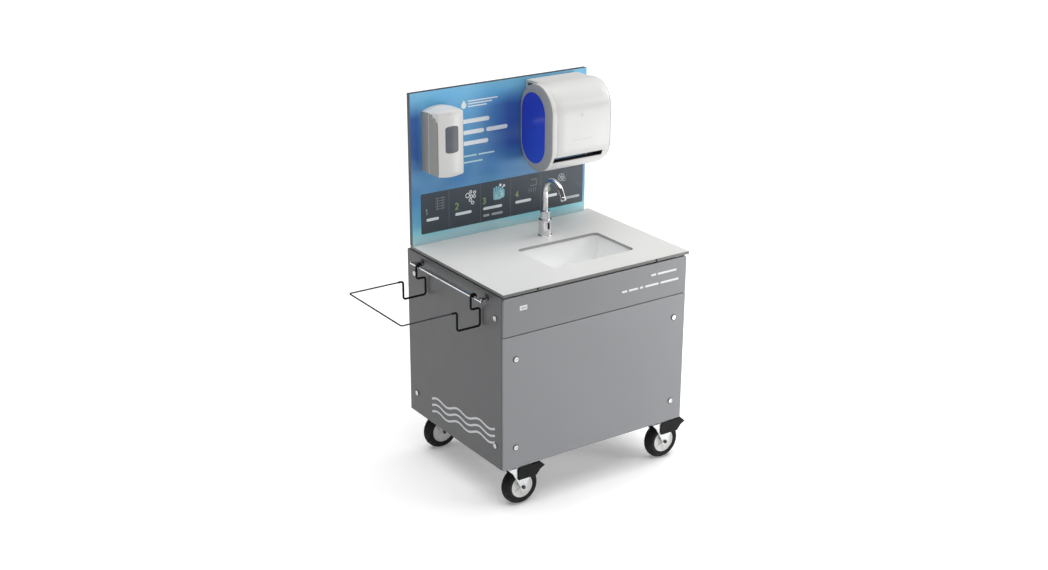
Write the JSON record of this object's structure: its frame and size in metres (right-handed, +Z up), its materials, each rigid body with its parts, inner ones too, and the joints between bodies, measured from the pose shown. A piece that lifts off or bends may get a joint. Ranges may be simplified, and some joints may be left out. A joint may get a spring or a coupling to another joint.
{
  "type": "portable handwash sink",
  "caption": "Wheeled handwash cabinet with undermount sink, gooseneck tap, upright sign board, soap and towel dispensers, side rail and fold-up bag rack.",
  "frame": {"origin": "middle of the whole outline, at the floor", "axes": "+X to the user's right, +Y to the back, +Z up"},
  "size_m": [1.276, 0.704, 1.5415],
  "materials": {
    "zinc_steel": "bright zinc plate",
    "dark_steel": "black oxide",
    "hub_plastic": "moulded, satin",
    "wheel_rubber": "satin rubber",
    "black_plastic": "moulded, fine texture",
    "side_sheet": "satin powder coat",
    "front_sheet": "satin powder coat",
    "apron_sheet": "satin powder coat",
    "frame_aluminium": "mill finish",
    "latch_metal": "bright nickel",
    "counter_stone": "honed solid surface",
    "black_rubber": "matt",
    "sink_white": "gloss",
    "chrome": "polished",
    "dark_plastic": "moulded",
    "clear_tank": "translucent blow-moulded",
    "grey_tank": "blow-moulded",
    "hose": "braided",
    "dark_window": "smoked, gloss",
    "sign_print": "printed composite sheet, satin",
    "sign_steel": "satin powder coat",
    "grey_plastic": "moulded, satin",
    "white_plastic": "moulded, gloss",
    "blue_window": "translucent blue, gloss",
    "paper": "paper",
    "roller_rubber": "matt",
    "rack_coating": "dipped vinyl"
  },
  "bodies": {
    "cabinet": {"caster_plates": "zinc_steel", "caster_bolts": "zinc_steel", "cabinet_frame": "frame_aluminium", "base_pan": "frame_aluminium", "left_panel": "side_sheet", "right_panel": "side_sheet", "back_panel": "side_sheet", "apron": "apron_sheet", "side_latches": "latch_metal", "countertop": "counter_stone", "counter_bumpers": "black_rubber", "sink_basin": "sink_white", "sink_strainer": "chrome", "drain_pipe": "dark_plastic", "fresh_tank": "clear_tank", "waste_tank": "grey_tank", "tank_caps": "dark_plastic", "pump": "dark_plastic", "battery": "dark_plastic", "supply_hose": "hose", "faucet_body": "chrome", "faucet_collar": "chrome", "sensor_window": "dark_window", "sign_panel": "sign_print", "sign_posts": "sign_steel", "towel_back": "grey_plastic", "soap_back": "grey_plastic", "soap_bottle": "clear_tank", "towel_rail": "chrome"},
    "caster_fl": {"fork_fl": "zinc_steel", "axle_fl": "dark_steel"},
    "wheel_fl": {"hub_fl": "hub_plastic", "tyre_fl": "wheel_rubber"},
    "caster_fr": {"fork_fr": "zinc_steel", "axle_fr": "dark_steel"},
    "wheel_fr": {"hub_fr": "hub_plastic", "tyre_fr": "wheel_rubber"},
    "caster_rl": {"fork_rl": "zinc_steel", "axle_rl": "dark_steel"},
    "wheel_rl": {"hub_rl": "hub_plastic", "tyre_rl": "wheel_rubber"},
    "caster_rr": {"fork_rr": "zinc_steel", "axle_rr": "dark_steel"},
    "wheel_rr": {"hub_rr": "hub_plastic", "tyre_rr": "wheel_rubber"},
    "pedal_fl": {"brake_pedal_fl": "black_plastic"},
    "pedal_fr": {"brake_pedal_fr": "black_plastic"},
    "access_panel": {"front_panel": "front_sheet"},
    "panel_latch_1": {"latch_1": "latch_metal"},
    "panel_latch_2": {"latch_2": "latch_metal"},
    "panel_latch_3": {"latch_3": "latch_metal"},
    "panel_latch_4": {"latch_4": "latch_metal"},
    "spout": {"faucet_spout": "chrome"},
    "rack": {"bag_rack": "rack_coating"},
    "towel_hood": {"towel_cover": "white_plastic", "towel_windows": "blue_window"},
    "paper_roll": {"towel_roll": "paper"},
    "paper_roller": {"feed_roller": "roller_rubber"},
    "soap_door": {"soap_cover": "white_plastic", "soap_window": "dark_window"}
  },
  "joints": [
    {"name": "caster_swivel_fl", "type": "hinge", "parent": "cabinet", "child": "caster_fl", "pos_m": [-0.203, -0.296, 0.17], "axis": [0, 0, 1], "continuous": true},
    {"name": "wheel_spin_fl", "type": "hinge", "parent": "caster_fl", "child": "wheel_fl", "pos_m": [-0.176, -0.296, 0.078], "axis": [0, 1, 0], "continuous": true},
    {"name": "caster_swivel_fr", "type": "hinge", "parent": "cabinet", "child": "caster_fr", "pos_m": [0.513, -0.296, 0.17], "axis": [0, 0, 1], "continuous": true},
    {"name": "wheel_spin_fr", "type": "hinge", "parent": "caster_fr", "child": "wheel_fr", "pos_m": [0.54, -0.296, 0.078], "axis": [0, 1, 0], "continuous": true},
    {"name": "caster_swivel_rl", "type": "hinge", "parent": "cabinet", "child": "caster_rl", "pos_m": [-0.203, 0.296, 0.17], "axis": [0, 0, 1], "continuous": true},
    {"name": "wheel_spin_rl", "type": "hinge", "parent": "caster_rl", "child": "wheel_rl", "pos_m": [-0.176, 0.296, 0.078], "axis": [0, 1, 0], "continuous": true},
    {"name": "caster_swivel_rr", "type": "hinge", "parent": "cabinet", "child": "caster_rr", "pos_m": [0.513, 0.296, 0.17], "axis": [0, 0, 1], "continuous": true},
    {"name": "wheel_spin_rr", "type": "hinge", "parent": "caster_rr", "child": "wheel_rr", "pos_m": [0.54, 0.296, 0.078], "axis": [0, 1, 0], "continuous": true},
    {"name": "brake_press_fl", "type": "hinge", "parent": "caster_fl", "child": "pedal_fl", "pos_m": [-0.143, -0.296, 0.156], "axis": [0, 1, 0], "range_deg": [0, 8]},
    {"name": "brake_press_fr", "type": "hinge", "parent": "caster_fr", "child": "pedal_fr", "pos_m": [0.573, -0.296, 0.156], "axis": [0, 1, 0], "range_deg": [0, 8]},
    {"name": "access_panel_pull", "type": "slide", "parent": "cabinet", "child": "access_panel", "axis": [0, -1, 0], "range_m": [0, 0.3]},
    {"name": "latch_turn_1", "type": "hinge", "parent": "access_panel", "child": "panel_latch_1", "pos_m": [-0.229, -0.35, 0.275], "axis": [0, -1, 0], "range_deg": [0, 90]},
    {"name": "latch_turn_2", "type": "hinge", "parent": "access_panel", "child": "panel_latch_2", "pos_m": [0.539, -0.35, 0.275], "axis": [0, -1, 0], "range_deg": [0, 90]},
    {"name": "latch_turn_3", "type": "hinge", "parent": "access_panel", "child": "panel_latch_3", "pos_m": [-0.229, -0.35, 0.645], "axis": [0, -1, 0], "range_deg": [0, 90]},
    {"name": "latch_turn_4", "type": "hinge", "parent": "access_panel", "child": "panel_latch_4", "pos_m": [0.539, -0.35, 0.645], "axis": [0, -1, 0], "range_deg": [0, 90]},
    {"name": "spout_swivel", "type": "hinge", "parent": "cabinet", "child": "spout", "pos_m": [0.243, 0.135, 1], "axis": [0, 0, 1], "range_deg": [-60, 60]},
    {"name": "rack_lift", "type": "hinge", "parent": "cabinet", "child": "rack", "pos_m": [-0.322, 0, 0.87], "axis": [0, 1, 0], "range_deg": [0, 90]},
    {"name": "towel_hood_lift", "type": "hinge", "parent": "cabinet", "child": "towel_hood", "pos_m": [0.386, 0.296, 1.524], "axis": [-1, 0, 0], "range_deg": [0, 75]},
    {"name": "paper_roll_spin", "type": "hinge", "parent": "cabinet", "child": "paper_roll", "pos_m": [0.386, 0.194, 1.395], "axis": [1, 0, 0], "continuous": true},
    {"name": "feed_roller_spin", "type": "hinge", "parent": "cabinet", "child": "paper_roller", "pos_m": [0.386, 0.15, 1.262], "axis": [1, 0, 0], "continuous": true},
    {"name": "soap_door_drop", "type": "hinge", "parent": "cabinet", "child": "soap_door", "pos_m": [-0.16, 0.258, 1.204], "axis": [1, 0, 0], "range_deg": [0, 80]}
  ],
  "couplings": [
    {"joint": "feed_roller_spin", "follows": "paper_roll_spin", "ratio": -5.6667}
  ]
}
